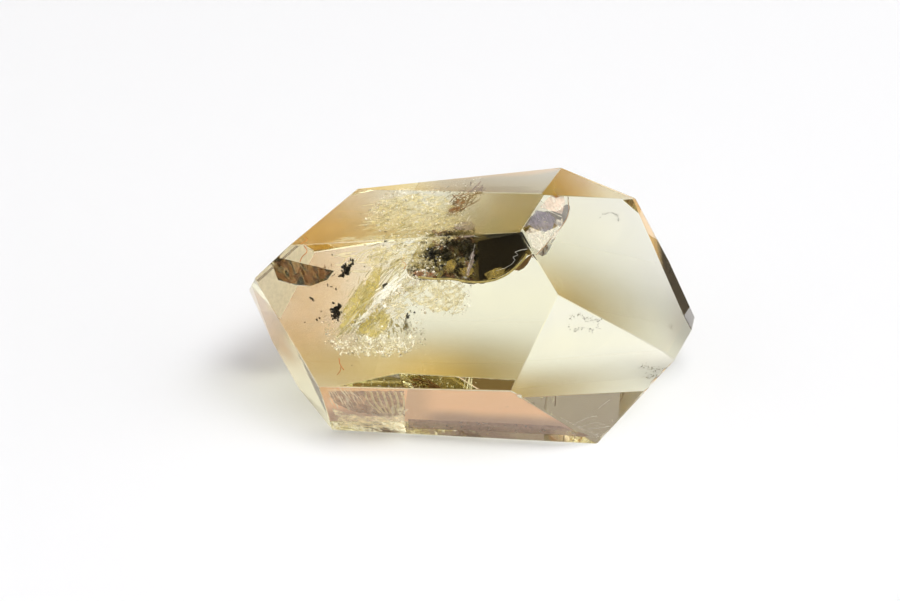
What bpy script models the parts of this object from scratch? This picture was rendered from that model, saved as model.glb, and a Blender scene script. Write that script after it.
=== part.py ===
"""Citrine crystal point: a stubby, double-ended quartz with hand-polished flats, lying on one of them.

Metres, +Z up. The origin is the middle of the crystal's footprint box, on the surface that it rests on.
+X runs along the crystal towards its sharper point, and -Y is the side with the broad front flats.
"""

import math

import bmesh
import bpy
from mathutils import Matrix, Vector

MM = 0.001

# The rough block that the flats are ground from, and the point inside it that they are measured from.
ROUGH_LENGTH = 70 * MM
ROUGH_WIDTH = 50 * MM
ROUGH_HEIGHT = 50 * MM
MIDDLE = Vector((2.0, 0.0, 12.0)) * MM

# Each flat, as a cutter would set it: its turn about the vertical in degrees (0 faces -Y, 90 faces +X),
# its tilt above the horizontal in degrees, and its distance from the middle in millimetres.
FLATS = {
    "base": (0.0, -90.0, 12.0),
    "front_upper": (-8.0, 27.5, 11.5),
    "front_lower": (-5.0, -24.5, 13.7),
    "top": (-117.5, 82.5, 12.6),
    "top_back_strip": (-175.5, 67.5, 12.8),
    "left_end": (-62.5, -18.0, 20.2),
    "left_shoulder": (-122.5, 36.5, 17.6),
    "left_back": (-131.5, -6.5, 18.6),
    "right_front": (29.0, 8.0, 14.7),
    "right_upper": (70.5, 41.5, 14.7),
    "right_crown": (133.0, 63.5, 15.2),
    "right_side_strip": (91.5, 29.5, 19.8),
    "right_tip_strip": (70.0, 34.0, 16.8),
    "right_lower": (67.5, -38.5, 21.2),
    "right_back": (140.0, 4.5, 22.3),
    "back_corner": (158.5, 1.5, 18.8),
    "back_upper": (-161.5, 23.5, 13.6),
    "back_lower": (174.5, -38.0, 10.3),
    "back_lower_left": (-158.5, -33.5, 12.1),
}
SHORTEST_EDGE = 0.15 * MM  # corners closer than this run together

# The polisher's softening of every edge.
EDGE_SOFTENING = 0.12 * MM
EDGE_STEPS = 2
SOFTENED_FROM = 12  # degrees between the two flats

# Shell-shaped nicks along the edges: the two flats whose edge each one sits on, how far along that edge
# it is, its radius and how deep it bites, in millimetres.
NICKS = (
    ("right_front", "right_lower", 0.10, 0.90, 0.22),
    ("right_front", "right_lower", 0.62, 0.70, 0.16),
    ("right_front", "right_lower", 0.74, 1.10, 0.28),
    ("right_front", "right_lower", 0.86, 0.80, 0.20),
    ("right_upper", "right_side_strip", 0.04, 0.80, 0.16),
    ("front_lower", "right_front", 0.90, 0.70, 0.14),
    ("left_end", "left_shoulder", 0.55, 0.80, 0.16),
    ("back_lower", "back_lower_left", 0.55, 1.30, 0.30),
)
NICK_STRETCH = 1.5  # a nick is this much longer along its edge than across it

CITRINE_COLOUR = (0.90, 0.83, 0.56, 1.0)
CITRINE_IOR = 1.544
POLISH_ROUGHNESS = 0.02


def clear_scene():
    for old in list(bpy.data.objects):
        bpy.data.objects.remove(old, do_unlink=True)


def new_collection(name):
    collection = bpy.data.collections.new(name)
    bpy.context.scene.collection.children.link(collection)
    return collection


def outward(turn, tilt):
    """The direction that a flat with this turn and tilt faces."""
    turn, tilt = math.radians(turn), math.radians(tilt)
    return Vector(
        (
            math.sin(turn) * math.cos(tilt),
            -math.cos(turn) * math.cos(tilt),
            math.sin(tilt),
        )
    )


def grind(block, facing, distance):
    """Cuts away what lies beyond one flat and closes the cut."""
    cut = bmesh.ops.bisect_plane(
        block,
        geom=block.verts[:] + block.edges[:] + block.faces[:],
        plane_co=MIDDLE + facing * distance,
        plane_no=facing,
        clear_outer=True,
    )
    rim = [item for item in cut["geom_cut"] if isinstance(item, bmesh.types.BMEdge)]
    bmesh.ops.edgeloop_fill(block, edges=rim)


def edge_between(block, first, second):
    """The two ends of the edge where two named flats meet."""
    facings = [outward(*FLATS[name][:2]) for name in (first, second)]
    for edge in block.edges:
        met = [
            any(face.normal.dot(facing) > 0.999 for face in edge.link_faces)
            for facing in facings
        ]
        if all(met):
            return sorted((v.co.copy() for v in edge.verts), key=lambda co: co.z)
    raise ValueError(f"{first} and {second} don't meet")


def faceted_block():
    block = bmesh.new()
    size = Matrix.Diagonal((ROUGH_LENGTH, ROUGH_WIDTH, ROUGH_HEIGHT, 1.0))
    bmesh.ops.create_cube(block, size=1.0, matrix=Matrix.Translation(MIDDLE) @ size)
    for turn, tilt, distance in FLATS.values():
        grind(block, outward(turn, tilt), distance * MM)
    bmesh.ops.remove_doubles(block, verts=block.verts, dist=SHORTEST_EDGE)
    bmesh.ops.recalc_face_normals(block, faces=block.faces)
    return block


def footprint_middle(block):
    """The middle of the crystal's box at the height of its lowest point."""
    low = [min(v.co[axis] for v in block.verts) for axis in range(3)]
    high = [max(v.co[axis] for v in block.verts) for axis in range(3)]
    return Vector(((low[0] + high[0]) / 2, (low[1] + high[1]) / 2, low[2]))


def nick_cutter(block, nick, collection):
    """A stretched ball lying along the edge, far enough out that it bites by the stated depth."""
    first, second, share, radius, depth = nick
    low, high = edge_between(block, first, second)
    along = (high - low).normalized()
    out = (outward(*FLATS[first][:2]) + outward(*FLATS[second][:2])).normalized()
    across = out.cross(along).normalized()
    centre = low.lerp(high, share) + out * (radius - depth) * MM
    turned = Matrix((along, across, out)).transposed().to_4x4()
    stretch = Matrix.Diagonal((NICK_STRETCH, 1.0, 1.0, 1.0))
    ball = bmesh.new()
    place = Matrix.Translation(centre) @ turned @ stretch
    bmesh.ops.create_icosphere(ball, subdivisions=3, radius=radius * MM, matrix=place)
    cutter = mesh_object(f"nick_{first}_{second}_{share:.2f}", ball, collection)
    cutter.hide_render = True
    cutter.display_type = "WIRE"
    return cutter


def mesh_object(name, shape, collection):
    mesh = bpy.data.meshes.new(name)
    shape.to_mesh(mesh)
    shape.free()
    made = bpy.data.objects.new(name, mesh)
    collection.objects.link(made)
    return made


def citrine():
    material = bpy.data.materials.new("citrine")
    material.use_nodes = True
    shader = material.node_tree.nodes["Principled BSDF"]
    shader.inputs["Base Color"].default_value = CITRINE_COLOUR
    shader.inputs["Metallic"].default_value = 0.0
    shader.inputs["Roughness"].default_value = POLISH_ROUGHNESS
    shader.inputs["IOR"].default_value = CITRINE_IOR
    shader.inputs["Transmission Weight"].default_value = 1.0
    return material


def soften_edges(crystal):
    bevel = crystal.modifiers.new("softened_edges", "BEVEL")
    bevel.width = EDGE_SOFTENING
    bevel.segments = EDGE_STEPS
    bevel.limit_method = "ANGLE"
    bevel.angle_limit = math.radians(SOFTENED_FROM)
    bevel.use_clamp_overlap = True


def cut_nicks(crystal, cutters):
    for cutter in cutters:
        bite = crystal.modifiers.new(cutter.name, "BOOLEAN")
        bite.operation = "DIFFERENCE"
        bite.solver = "EXACT"
        bite.object = cutter


def main():
    clear_scene()
    parts = new_collection("citrine_crystal_point")
    helpers = new_collection("cutters")
    helpers.hide_render = True
    block = faceted_block()
    bmesh.ops.translate(block, verts=block.verts, vec=-footprint_middle(block))
    cutters = [nick_cutter(block, nick, helpers) for nick in NICKS]
    crystal = mesh_object("citrine_crystal", block, parts)
    crystal.data.materials.append(citrine())
    soften_edges(crystal)
    cut_nicks(crystal, cutters)


main()
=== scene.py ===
import math
import random
import bpy
from mathutils import Matrix, Vector
from mathutils.bvhtree import BVHTree


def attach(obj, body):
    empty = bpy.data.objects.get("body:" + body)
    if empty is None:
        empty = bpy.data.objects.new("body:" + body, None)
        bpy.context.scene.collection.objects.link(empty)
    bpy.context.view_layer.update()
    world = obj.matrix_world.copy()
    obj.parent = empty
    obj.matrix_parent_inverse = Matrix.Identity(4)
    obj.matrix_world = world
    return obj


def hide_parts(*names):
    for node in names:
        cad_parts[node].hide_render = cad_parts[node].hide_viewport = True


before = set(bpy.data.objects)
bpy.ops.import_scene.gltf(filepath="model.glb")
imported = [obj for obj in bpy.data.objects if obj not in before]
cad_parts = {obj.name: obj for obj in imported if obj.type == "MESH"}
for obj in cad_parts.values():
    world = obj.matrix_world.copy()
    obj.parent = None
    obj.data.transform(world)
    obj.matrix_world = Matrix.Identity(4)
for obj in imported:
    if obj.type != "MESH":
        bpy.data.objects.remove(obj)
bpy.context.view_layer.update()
mm = 0.001
seeds = {"frost": 23, "grains": 11, "films": 83, "wisps": 53, "stars": 61, "bits": 67, "pits": 71}
print("frame loaded")


def deselectAll():
    if bpy.context.mode != "OBJECT":
        bpy.ops.object.mode_set(mode="OBJECT")
    bpy.ops.object.select_all(action="DESELECT")


def makeActive(piece):
    deselectAll()
    piece.select_set(True)
    bpy.context.view_layer.objects.active = piece


def addPiece(name, data):
    piece = bpy.data.objects.new(name, data)
    bpy.context.scene.collection.objects.link(piece)
    return piece


def joined(name, pieces):
    deselectAll()
    for piece in pieces:
        piece.select_set(True)
    bpy.context.view_layer.objects.active = pieces[0]
    if len(pieces) > 1:
        bpy.ops.object.join()
    pieces[0].name = name
    return pieces[0]


# runs edit mode operators, each with its values, starting with the whole mesh selected
def editWhole(*steps):
    bpy.ops.object.mode_set(mode="EDIT")
    bpy.ops.mesh.select_all(action="SELECT")
    for operator, values in steps:
        operator(**values)
    bpy.ops.object.mode_set(mode="OBJECT")


def applyModifier(piece, kind, **values):
    makeActive(piece)
    bpy.ops.object.modifier_add(type=kind)
    modifier = piece.modifiers[-1]
    for key, value in values.items():
        setattr(modifier, key, value)
    bpy.ops.object.modifier_apply(modifier=modifier.name)


# turns a piece that was made flat, and puts it in its place
def standUp(piece, upright, middle):
    makeActive(piece)
    piece.rotation_euler = upright.to_euler()
    piece.location = middle
    bpy.ops.object.transform_apply(location=True, rotation=True, scale=False)


def hideFrom(piece, *rays):
    for ray in rays:
        setattr(piece, "visible_" + ray, False)


# turn goes round from the back towards the right, rise goes up, both in degrees
def heading(turn, rise):
    turn, rise = math.radians(turn), math.radians(rise)
    return Vector((math.sin(turn) * math.cos(rise), math.cos(turn) * math.cos(rise), math.sin(rise)))


# a long lens, looking down on the front
cameraSettings = {
    "target": (-2.777, -0.836, 12.0),
    "distance": 371.58,
    "elevation": 35.0,
    "lens": 132.0,
    "sensor": 36.0,
    "clip": (0.01, 20.0),
}


def makeCamera():
    s = cameraSettings
    tilt = math.radians(s["elevation"])
    back = Vector((0, -math.cos(tilt), math.sin(tilt)))
    place = (Vector(s["target"]) + back * s["distance"]) * mm
    bpy.ops.object.camera_add(location=place, rotation=(math.pi / 2 - tilt, 0, 0))
    camera = bpy.context.object
    camera.name = "camera"
    camera.data.lens = s["lens"]
    camera.data.sensor_width = s["sensor"]
    camera.data.clip_start, camera.data.clip_end = s["clip"]
    bpy.context.scene.camera = camera
    return camera


camera = makeCamera()
print("camera placed")


# materials: small helpers that wire nodes; an input takes a socket to link or a plain value
def setInput(tree, socket, value):
    if isinstance(value, bpy.types.NodeSocket):
        tree.links.new(value, socket)
    elif socket.type == "RGBA":
        socket.default_value = (*value, 1)
    else:
        socket.default_value = value


def addNode(tree, kind, inputs={}, **settings):
    node = tree.nodes.new(kind)
    for key, value in settings.items():
        setattr(node, key, value)
    for key, value in inputs.items():
        setInput(tree, node.inputs[key], value)
    return node


# a material with one shader on its surface
def newMaterial(name, kind, inputs={}):
    material = bpy.data.materials.new(name)
    material.use_nodes = True
    tree = material.node_tree
    tree.nodes.clear()
    shader = addNode(tree, kind, inputs)
    addNode(tree, "ShaderNodeOutputMaterial", {"Surface": shader.outputs[0]})
    return material, tree, shader


def addAbsorption(tree, colour, density):
    volume = addNode(tree, "ShaderNodeVolumeAbsorption", {"Color": colour, "Density": density})
    setInput(tree, tree.nodes["Material Output"].inputs["Volume"], volume.outputs[0])


def objectPlace(tree):
    return addNode(tree, "ShaderNodeTexCoord").outputs["Object"]


def splitPlace(tree, place):
    return addNode(tree, "ShaderNodeSeparateXYZ", {0: place}).outputs


def noiseNode(tree, scale, detail=2):
    inputs = {"Vector": objectPlace(tree), "Scale": scale, "Detail": detail}
    return addNode(tree, "ShaderNodeTexNoise", inputs).outputs[0]


def mathNode(tree, operation, *values):
    return addNode(tree, "ShaderNodeMath", dict(enumerate(values)), operation=operation).outputs[0]


def vectorNode(tree, operation, *values):
    node = addNode(tree, "ShaderNodeVectorMath", dict(enumerate(values)), operation=operation)
    return node.outputs["Value" if operation in ("LENGTH", "DOT_PRODUCT") else "Vector"]


def softStep(tree, value, low, high):
    inputs = {"Value": value, "From Min": low, "From Max": high}
    return addNode(tree, "ShaderNodeMapRange", inputs, interpolation_type="SMOOTHSTEP").outputs["Result"]


# inputs 6 and 7 of a Mix node are its two colours
def mixColour(tree, factor, first, second, blend="MIX"):
    inputs = {0: factor, 6: first, 7: second}
    return addNode(tree, "ShaderNodeMix", inputs, data_type="RGBA", blend_type=blend).outputs[2]


def rampNode(tree, factor, stops):
    node = addNode(tree, "ShaderNodeValToRGB", {0: factor})
    elements = node.color_ramp.elements
    while len(elements) < len(stops):
        elements.new(0.5)
    for element, (place, colour) in zip(elements, stops):
        element.position = place
        element.color = (*colour, 1)
    return node.outputs[0]


# floor, world and lights
floorSettings = {
    "width": 6000.0,
    "gap": 0.04,  # the stone touches only here and there, so light turns back inside its base
    "colour": (0.88, 0.895, 0.915),
    "roughness": 0.42,
}


def makeFloor():
    s = floorSettings
    bpy.ops.mesh.primitive_plane_add(size=s["width"] * mm, location=(0, 0, -s["gap"] * mm))
    floor = bpy.context.object
    floor.name = "floor"
    inputs = {"Base Color": s["colour"], "Roughness": s["roughness"], "Specular IOR Level": 0}
    floor.data.materials.append(newMaterial("paleFloor", "ShaderNodeBsdfPrincipled", inputs)[0])


# room and back are bands of colour by their height in degrees
worldSettings = {
    "horizon": (0.86, 0.85, 0.84),
    "side": (1.05, 1.0, 0.97),
    "upper": (0.40, 0.31, 0.26),
    "zenith": (0.98, 0.72, 0.64),
    "dark": (0.012, 0.010, 0.008),
    "dusk": (0.19, 0.12, 0.05),
    "front": (0.02, 0.02, 0.02),
    "leftDim": (0.62, 0.62, 0.64),
    "brightens": (-0.15, 0.45),
    "room": [
        (0, "horizon"), (6, "horizon"), (20, "side"), (50, "side"), (62, "upper"), (74, "upper"),
        (82, "zenith"),
    ],
    "back": [
        (0, "horizon"), (5, "horizon"), (12, "dark"), (69, "dark"), (72, "dusk"), (80, "zenith"),
    ],
    "backTurn": 5.0,
    "backWidth": 68.0,
    "backSoft": 20.0,
    "frontWidth": 48.0,
    "frontSoft": 8.0,
    "frontRise": (0.05, 0.14),
    "patches": {
        "window": {"way": (118, 62), "width": 10, "soft": 3, "colour": (8.0, 7.9, 7.7)},
        "highLeft": {"way": (-66, 66), "width": 10, "soft": 5, "colour": (0.35, 0.30, 0.29)},
        "highFront": {"way": (-169, 75), "width": 12, "soft": 4, "colour": (0.25, 0.165, 0.155)},
    },
}


def makeWorld():
    s = worldSettings
    world = bpy.data.worlds.new("studio")
    bpy.context.scene.world = world
    world.use_nodes = True
    tree = world.node_tree
    tree.nodes.clear()
    place = addNode(tree, "ShaderNodeTexCoord").outputs["Generated"]
    x, y, z = splitPlace(tree, place)
    elevation = mathNode(tree, "DIVIDE", mathNode(tree, "ARCSINE", z), math.pi / 2)
    azimuth = mathNode(tree, "ARCTAN2", x, y)
    room = rampNode(tree, elevation, [(rise / 90, s[name]) for rise, name in s["room"]])
    # behind the stone the room is dark above the horizon
    back = rampNode(tree, elevation, [(rise / 90, s[name]) for rise, name in s["back"]])
    # the room is brighter at the right
    rightness = softStep(tree, x, *s["brightens"])
    room = mixColour(tree, rightness, mixColour(tree, 1.0, room, s["leftDim"], "MULTIPLY"), room)
    aside = mathNode(tree, "ABSOLUTE", mathNode(tree, "SUBTRACT", azimuth, math.radians(s["backTurn"])))
    wide, soft = s["backWidth"], s["backSoft"]
    colour = mixColour(
        tree, softStep(tree, aside, math.radians(wide + soft), math.radians(wide - soft)), room, back
    )
    # and dim round the camera, so that dark places stay dark under the flats' own sheen
    across = mathNode(tree, "SUBTRACT", math.pi, mathNode(tree, "ABSOLUTE", azimuth))
    wide, soft = s["frontWidth"], s["frontSoft"]
    ahead = softStep(tree, across, math.radians(wide + soft), math.radians(wide - soft))
    front = mathNode(tree, "MULTIPLY", ahead, softStep(tree, elevation, *s["frontRise"]))
    colour = mixColour(tree, front, colour, s["front"])
    # a bright window at the right, which only splinters and edges catch, and two dim patches high up
    for patch in s["patches"].values():
        nearness = vectorNode(tree, "DOT_PRODUCT", place, heading(*patch["way"]))
        outer = math.cos(math.radians(patch["width"] + patch["soft"]))
        inner = math.cos(math.radians(patch["width"] - patch["soft"]))
        colour = mixColour(tree, softStep(tree, nearness, outer, inner), colour, patch["colour"])
    shader = addNode(tree, "ShaderNodeBackground", {"Color": colour})
    addNode(tree, "ShaderNodeOutputWorld", {"Surface": shader.outputs[0]})


# a warm card close behind the stone, which only the stone sees; it gives off its own light, its colours a
# painted lit room, darker towards the top
cardSettings = {
    "behind": 50.0,
    "left": -30.0,
    "right": 160.0,
    "height": 64.0,
    "cells": (24, 12),
    "mauve": (0.38, 0.25, 0.19),
    "peach": (0.76, 0.46, 0.29),
    "umber": (0.56, 0.35, 0.23),
    "brown": (0.30, 0.14, 0.07),
    "dark": (0.012, 0.009, 0.006),
    "streak": (0.30, 0.16, 0.05),
    "cream": (1.0, 0.76, 0.30),
    "grey": (0.42, 0.37, 0.38),
    "rust": (0.55, 0.22, 0.06),
    "ochre": (0.80, 0.58, 0.20),
    "band": (("cream", -9), ("grey", -4), ("grey", 12), ("rust", 16), ("rust", 20), ("ochre", 24)),
    "bandSpan": 100.0,
    "waver": 4.0,
    "waverScale": 45,
    "streakScale": 90,
    "streakFrom": (0.5, 0.68),
    "peachAbove": (7.4, 9.2),
    "umberLeftOf": (-2.5, -6.0),
    "bandAbove": (11.8, 12.6),
    "brownAbove": (16, 18),
    "darkAbove": (21, 24),
}


def makeCard():
    s = cardSettings
    across, up = s["cells"]
    bpy.ops.mesh.primitive_grid_add(x_subdivisions=across, y_subdivisions=up, size=1)
    card = bpy.context.object
    card.name = "warmCard"
    width = s["right"] - s["left"]
    middle = Vector((s["left"] + width / 2, s["behind"], s["height"] / 2)) * mm
    editWhole(
        (bpy.ops.transform.resize, {"value": (width * mm, s["height"] * mm, 1)}),
        (bpy.ops.transform.rotate, {"value": -math.pi / 2, "orient_axis": "X", "center_override": (0, 0, 0)}),
        (bpy.ops.transform.translate, {"value": middle}),
    )
    hideFrom(card, "camera", "diffuse", "shadow")
    material, tree, shader = newMaterial("warmCard", "ShaderNodeEmission")
    parts = splitPlace(tree, objectPlace(tree))
    noise = noiseNode(tree, s["waverScale"])
    waver = mathNode(tree, "MULTIPLY", mathNode(tree, "SUBTRACT", noise, 0.5), s["waver"])
    height = mathNode(tree, "ADD", mathNode(tree, "DIVIDE", parts["Z"], mm), waver)
    across = mathNode(tree, "DIVIDE", parts["X"], mm)
    colour = mixColour(tree, softStep(tree, height, *s["peachAbove"]), s["mauve"], s["peach"])
    colour = mixColour(tree, softStep(tree, across, *s["umberLeftOf"]), colour, s["umber"])
    share = mathNode(tree, "DIVIDE", mathNode(tree, "SUBTRACT", across, s["left"]), s["bandSpan"])
    stops = [((place - s["left"]) / s["bandSpan"], s[name]) for name, place in s["band"]]
    band = rampNode(tree, share, stops)
    colour = mixColour(tree, softStep(tree, height, *s["bandAbove"]), colour, band)
    # higher up the card turns brown, then dark streaks: painted shade
    colour = mixColour(tree, softStep(tree, height, *s["brownAbove"]), colour, s["brown"])
    streaks = noiseNode(tree, s["streakScale"], 3)
    low, high = s["streakFrom"]
    gloom = rampNode(tree, streaks, [(low, s["dark"]), (high, s["streak"])])
    colour = mixColour(tree, softStep(tree, height, *s["darkAbove"]), colour, gloom)
    setInput(tree, shader.inputs["Color"], colour)
    card.data.materials.append(material)


# two plain flags that only the stone sees, each giving off its own light: a dark one low behind its tip,
# painted shade, and a beige one far off at the right, painted light
flagSettings = {
    "darkFlag": {"middle": (46, 20, 6), "turn": 0, "size": (40, 12), "colour": (0.03, 0.025, 0.02)},
    "beigeFlag": {"middle": (240, -78, 11), "turn": 108, "size": (130, 30), "colour": (0.72, 0.58, 0.52)},
}


def makeFlags():
    for name, s in flagSettings.items():
        deselectAll()
        turned = (math.pi / 2, 0, -math.radians(s["turn"]))
        bpy.ops.mesh.primitive_plane_add(size=1, location=Vector(s["middle"]) * mm, rotation=turned)
        flag = bpy.context.object
        flag.name = name
        width, height = s["size"]
        flag.scale = (width * mm, height * mm, 1)
        bpy.ops.object.transform_apply(location=False, rotation=True, scale=True)
        hideFrom(flag, "camera", "diffuse", "shadow")
        flag.data.materials.append(newMaterial(name, "ShaderNodeEmission", {"Color": s["colour"]})[0])


# painted shade and painted bounced light on the floor close behind the stone: glowing sheets seen only
# through it
padSettings = {
    # painted shade on the floor just behind the base, darker at the right
    "shadePad": {
        "middle": (-1.5, 3.2, -0.02),
        "reach": (19.5, 12.5),
        "left": (0.72, 0.48, 0.13),
        "right": (0.40, 0.27, 0.07),
        "turns": (-6.0, 3.0),
        "cover": 0.90,
    },
    # painted warm shade on the floor at the back left
    "goldenShadePad": {
        "middle": (-17.0, 6.0, -0.03),
        "reach": (12.0, 11.0),
        "left": (0.66, 0.42, 0.14),
        "right": (0.60, 0.38, 0.12),
        "turns": (-12.0, -6.0),
        "cover": 0.62,
    },
    # painted light: a paler floor further back
    "paleLightPad": {
        "middle": (5.0, 20.0, -0.035),
        "reach": (24.0, 14.0),
        "left": (1.0, 1.0, 0.88),
        "right": (1.0, 0.99, 0.90),
        "turns": (-12.0, -6.0),
        "cover": 0.80,
    },
}


def makePads():
    for name, s in padSettings.items():
        deselectAll()
        middle = Vector(s["middle"]) * mm
        reach = Vector((*s["reach"], 0)) * mm + Vector((0, 0, 1))
        bpy.ops.mesh.primitive_plane_add(size=2, location=middle)
        pad = bpy.context.object
        pad.name = name
        pad.scale = reach
        bpy.ops.object.transform_apply(location=True, rotation=True, scale=True)
        hideFrom(pad, "camera", "diffuse", "shadow")
        material, tree, both = newMaterial(name, "ShaderNodeMixShader")
        place = objectPlace(tree)
        low, high = s["turns"]
        turns = softStep(tree, splitPlace(tree, place)["X"], low * mm, high * mm)
        share = vectorNode(tree, "DIVIDE", vectorNode(tree, "SUBTRACT", place, middle), reach)
        away = vectorNode(tree, "LENGTH", share)
        cover = mathNode(tree, "MULTIPLY", softStep(tree, away, 1.0, 0.0), s["cover"])
        clear = addNode(tree, "ShaderNodeBsdfTransparent")
        glow = addNode(tree, "ShaderNodeEmission", {"Color": mixColour(tree, turns, s["left"], s["right"])})
        for socket, value in zip(both.inputs, (cover, clear.outputs[0], glow.outputs[0])):
            setInput(tree, socket, value)
        pad.data.materials.append(material)


lightSettings = {
    "key": {"way": (108, 70), "away": 1200, "size": 900, "power": 8.5, "colour": (0.97, 0.99, 1)},
    "fill": {"way": (186, 38), "away": 1100, "size": 600, "power": 2.8, "colour": (1, 0.99, 0.97)},
}


# the lamps light the floor and the grains; what the stone mirrors is the room itself
def makeLights():
    for name, s in lightSettings.items():
        toLamp = heading(*s["way"])
        bpy.ops.object.light_add(type="AREA", location=toLamp * s["away"] * mm)
        lamp = bpy.context.object
        lamp.name = name + "Light"
        lamp.rotation_euler = toLamp.to_track_quat("Z", "Y").to_euler()
        lamp.data.shape = "DISK"
        lamp.data.size = s["size"] * mm
        lamp.data.energy = s["power"]
        lamp.data.color = s["colour"]
        hideFrom(lamp, "glossy", "transmission")


makeFloor()
makeWorld()
makeCard()
makeFlags()
makePads()
makeLights()
print("floor and light made")

# the stone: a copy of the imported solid, merged, with its flats made whole again
crystalSettings = {
    "merge": 0.001,
    "flatAngle": 0.4,
    "smoothAngle": 50.0,
    "edgeWeight": 90,
    "refraction": 1.544,
    "absorption": (0.98, 0.93, 0.36),
    "density": 16.0,
}


def clearQuartz():
    s = crystalSettings
    inputs = {"Base Color": (1, 1, 1), "Transmission Weight": 1, "IOR": s["refraction"], "Roughness": 0}
    material, tree, _ = newMaterial("paleCitrine", "ShaderNodeBsdfPrincipled", inputs)
    addAbsorption(tree, s["absorption"], s["density"])
    return material


# sight lines: where a ray from the camera runs inside the stone
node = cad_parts["citrine_crystal"]
stoneSkin = BVHTree.FromPolygons(
    [tuple(v.co) for v in node.data.vertices],
    [tuple(f.vertices) for f in node.data.polygons],
)
imageWidth = 900.0
imageMiddle = (450.0, 300.5)
pixelMm = 0.115  # about the width of one pixel at the stone


def sightLine(seen):
    focal = cameraSettings["lens"] / cameraSettings["sensor"] * imageWidth
    turned = camera.rotation_euler.to_matrix()
    ray = turned @ Vector((seen[0] - imageMiddle[0], imageMiddle[1] - seen[1], -focal)).normalized()
    hit, normal, _, _ = stoneSkin.ray_cast(camera.location, ray)
    if hit is None:
        return None, ray, None
    ratio = 1 / crystalSettings["refraction"]
    facing = -ray.dot(normal)
    inward = math.sqrt(1 - ratio**2 * (1 - facing**2))
    return hit, (ray * ratio + normal * (ratio * facing - inward)).normalized(), normal


def inside(seen, depth):
    hit, ray, _ = sightLine(seen)
    return hit + ray * depth * mm


def onPlane(seen, centre, normal):
    hit, ray, _ = sightLine(seen)
    return hit + ray * ((centre - hit).dot(normal) / ray.dot(normal))


# an inner crack is a sheet of air a few hundredths thick, laid in the stone where its outline is seen
crackShape = {"span": 2.2, "edge": 4.0, "weld": 0.0005}


def thinCrack(name, s):
    centre = Vector(s["centre"]) * mm
    normal = Vector(s["facing"]).normalized()
    upright = normal.to_track_quat("Z", "Y")
    outline = [onPlane(seen, centre, normal) for seen in s["seen"]]
    for x, y in s.get("hidden", []):
        flat = Vector((x * mm, y * mm, 0))
        outline.append(flat + Vector((0, 0, (centre - flat).dot(normal) / normal.z)))
    middle = sum(outline, Vector()) / len(outline)
    local = [upright.inverted() @ (place - middle) for place in outline]
    edge = crackEdge(name, local, s.get("rounded", True))
    deselectAll()
    span = crackShape["span"] * max(place.length for place in local)
    bpy.ops.mesh.primitive_grid_add(x_subdivisions=s["cells"], y_subdivisions=s["cells"], size=span)
    sheet = bpy.context.object
    sheet.name = name
    addWave(sheet, name, **s["wave"])
    applyModifier(sheet, "SOLIDIFY", thickness=s["gap"] * mm, offset=0)
    applyModifier(sheet, "BOOLEAN", object=edge, operation="INTERSECT", solver="EXACT")
    bpy.data.objects.remove(edge)
    standUp(sheet, upright, middle)
    editWhole((bpy.ops.mesh.flip_normals, {}))
    print("crack", name, len(sheet.data.polygons), "faces")
    return sheet


def crackEdge(name, outline, rounded, thickness=crackShape["edge"]):
    curve = bpy.data.curves.new(name + "Edge", "CURVE")
    curve.dimensions = "2D"
    curve.fill_mode = "BOTH"
    curve.resolution_u = 6
    curve.extrude = thickness * mm
    spline = curve.splines.new("BEZIER" if rounded else "POLY")
    points = spline.bezier_points if rounded else spline.points
    points.add(len(outline) - 1)
    for point, place in zip(points, outline):
        point.co = (place.x, place.y, 0) if rounded else (place.x, place.y, 0, 1)
        if rounded:
            point.handle_left_type = point.handle_right_type = "AUTO"
    spline.use_cyclic_u = True
    makeActive(addPiece(name + "Edge", curve))
    bpy.ops.object.convert(target="MESH")
    editWhole(
        (bpy.ops.mesh.remove_doubles, {"threshold": crackShape["weld"] * mm}),
        (bpy.ops.mesh.normals_make_consistent, {"inside": False}),
    )
    return bpy.context.object


# stretch draws a wave out along one way, turned on the sheet
def addWave(sheet, name, scale, strength, stretch=1.0, turn=0.0):
    texture = bpy.data.textures.new(name, "CLOUDS")
    texture.noise_scale = 1.0
    texture.noise_depth = 1
    holder = addPiece(name + "Holder", None)
    holder.scale = (scale * stretch * mm, scale * mm, scale * mm)
    holder.rotation_euler.z = math.radians(turn)
    bpy.context.view_layer.update()
    shape = {"texture": texture, "texture_coords": "OBJECT", "texture_coords_object": holder}
    applyModifier(sheet, "DISPLACE", strength=strength * mm, mid_level=0.5, **shape)
    bpy.data.objects.remove(holder)


crackSettings = {
    "mainCrack": {
        "seen": [(478, 283), (492, 280), (513, 269), (525, 257)],
        "hidden": [(7.4, -2.4), (7.2, 1.8), (1.0, 1.8)],
        "centre": (2.0, -4.0, 19.8), "facing": (0.0, -0.26, 1.0), "cells": 60, "gap": 0.04,
        "wave": {"scale": 9.0, "strength": 0.05},
    },
    "lensCrack": {
        "seen": [
            (523, 229), (538, 205), (550, 193), (562, 193), (569, 212), (559, 231), (538, 254), (530, 252),
        ],
        "centre": (7.0, -1.0, 18.9), "facing": (-0.1, -0.18, 1.0), "cells": 50, "gap": 0.05,
        "wave": {"scale": 5.0, "strength": 0.1},
    },
    "brokenCrack": {
        "seen": [(410, 276), (450, 279), (478, 283), (484, 262)],
        "hidden": [(0.4, 1.8), (-4.0, 0.8), (-6.5, -3.0)],
        "centre": (2.0, -4.0, 19.8), "facing": (0.0, -0.26, 1.0), "cells": 100, "gap": 0.05,
        "wave": {"scale": 1.6, "strength": 0.1},
    },
    "leftFlake": {
        "seen": [
            (272, 264), (279, 258), (309, 265), (334, 271), (327, 280), (311, 286), (295, 285), (278, 280),
        ],
        "centre": (-19.5, -3.5, 17.5), "facing": (-0.2, -0.09, 1.0), "cells": 70, "gap": 0.04,
        "rounded": False,
        "wave": {"scale": 1.2, "strength": 0.14, "stretch": 3.0, "turn": -10.0},
    },
}

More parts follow.
